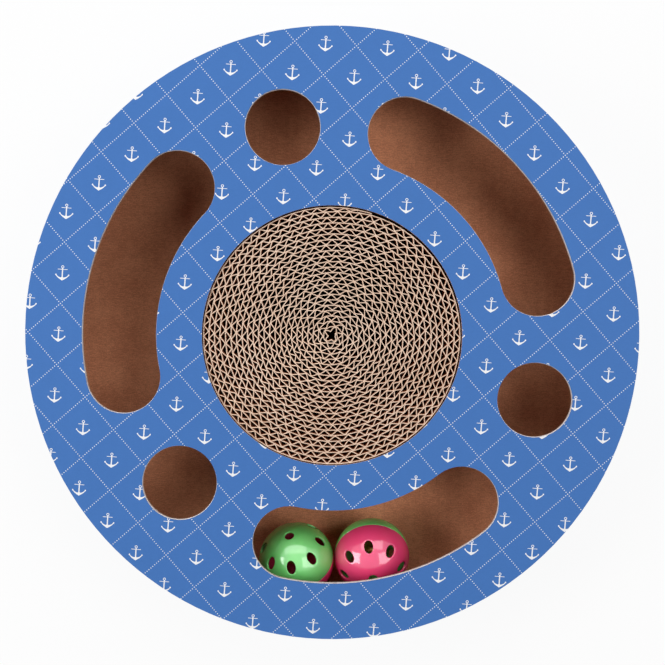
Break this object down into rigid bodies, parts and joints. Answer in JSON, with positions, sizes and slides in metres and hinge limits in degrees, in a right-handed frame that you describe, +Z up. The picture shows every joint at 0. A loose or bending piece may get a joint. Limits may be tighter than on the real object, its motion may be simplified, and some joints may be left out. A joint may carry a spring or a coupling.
{
  "type": "cat scratching drum",
  "caption": "Flat round corrugated-board drum for a cat: a wound board coil in the middle to scratch, and a covered track round it where rattling balls roll under paw holes and slots.",
  "frame": {"origin": "middle of the underside", "axes": "+Z up out of the printed top, -Y towards the balls, +X to the right with the balls in front"},
  "size_m": [0.33, 0.33, 0.056],
  "materials": {
    "print_paper": "printed, low sheen",
    "kraft_board": "plain kraft",
    "coil_board": "cut edge of single-face corrugated board",
    "paper_tape": "matt",
    "hot_glue": "waxy",
    "green_plastic": "pearly gloss",
    "pink_plastic": "pearly gloss",
    "bell_metal": "plated",
    "pellet_steel": "plain"
  },
  "bodies": {
    "drum": {"top_print_sheet": "print_paper", "top_fluting": "kraft_board", "top_kraft_liner": "kraft_board", "wall_print_wrap": "print_paper", "wall_fluting": "kraft_board", "wall_kraft_liner": "kraft_board", "wall_seam_tape": "paper_tape", "ring_track_liner": "kraft_board", "ring_fluting": "kraft_board", "ring_coil_liner": "kraft_board", "ring_seam_tape": "paper_tape", "base_track_liner": "kraft_board", "base_fluting": "kraft_board", "base_outer_liner": "kraft_board", "wall_top_glue": "hot_glue", "wall_base_glue": "hot_glue", "ring_top_glue": "hot_glue", "ring_base_glue": "hot_glue"},
    "coil": {"coil_liner": "coil_board", "coil_fluting": "coil_board"},
    "ball_1_bell": {"ball_1_bell_crown": "bell_metal", "ball_1_bell_cup": "bell_metal"},
    "ball_1_shell": {"ball_1_green_half": "green_plastic", "ball_1_pink_half": "pink_plastic"},
    "ball_1_pellet": {"ball_1_pellet": "pellet_steel"},
    "ball_2_bell": {"ball_2_bell_crown": "bell_metal", "ball_2_bell_cup": "bell_metal"},
    "ball_2_shell": {"ball_2_pink_half": "pink_plastic", "ball_2_green_half": "green_plastic"},
    "ball_2_pellet": {"ball_2_pellet": "pellet_steel"}
  },
  "joints": [
    {"name": "coil_lift", "type": "slide", "parent": "drum", "child": "coil", "axis": [0, 0, 1], "range_m": [0, 0.07]},
    {"name": "ball_1_orbit", "type": "hinge", "parent": "drum", "child": "ball_1_bell", "pos_m": [0, 0, 0], "axis": [0, 0, 1], "range_deg": [-320, 0]},
    {"name": "ball_1_roll", "type": "hinge", "parent": "ball_1_bell", "child": "ball_1_shell", "pos_m": [-0.02048, -0.1299, 0.0248], "axis": [-0.1558, -0.9878, 0], "range_deg": [0, 1960]},
    {"name": "ball_1_pellet_hop", "type": "slide", "parent": "ball_1_bell", "child": "ball_1_pellet", "axis": [0, 0, 1], "range_m": [0, 0.007]},
    {"name": "ball_2_orbit", "type": "hinge", "parent": "drum", "child": "ball_2_bell", "pos_m": [0, 0, 0], "axis": [0, 0, 1], "range_deg": [0, 320]},
    {"name": "ball_2_roll", "type": "hinge", "parent": "ball_2_bell", "child": "ball_2_shell", "pos_m": [0.02285, -0.12747, 0.0248], "axis": [0.1764, -0.9843, 0], "range_deg": [-1930, 0]},
    {"name": "ball_2_pellet_hop", "type": "slide", "parent": "ball_2_bell", "child": "ball_2_pellet", "axis": [0, 0, 1], "range_m": [0, 0.007]}
  ],
  "couplings": [
    {"joint": "ball_1_roll", "follows": "ball_1_orbit", "ratio": -6.1163},
    {"joint": "ball_2_roll", "follows": "ball_2_orbit", "ratio": -6.0233}
  ]
}
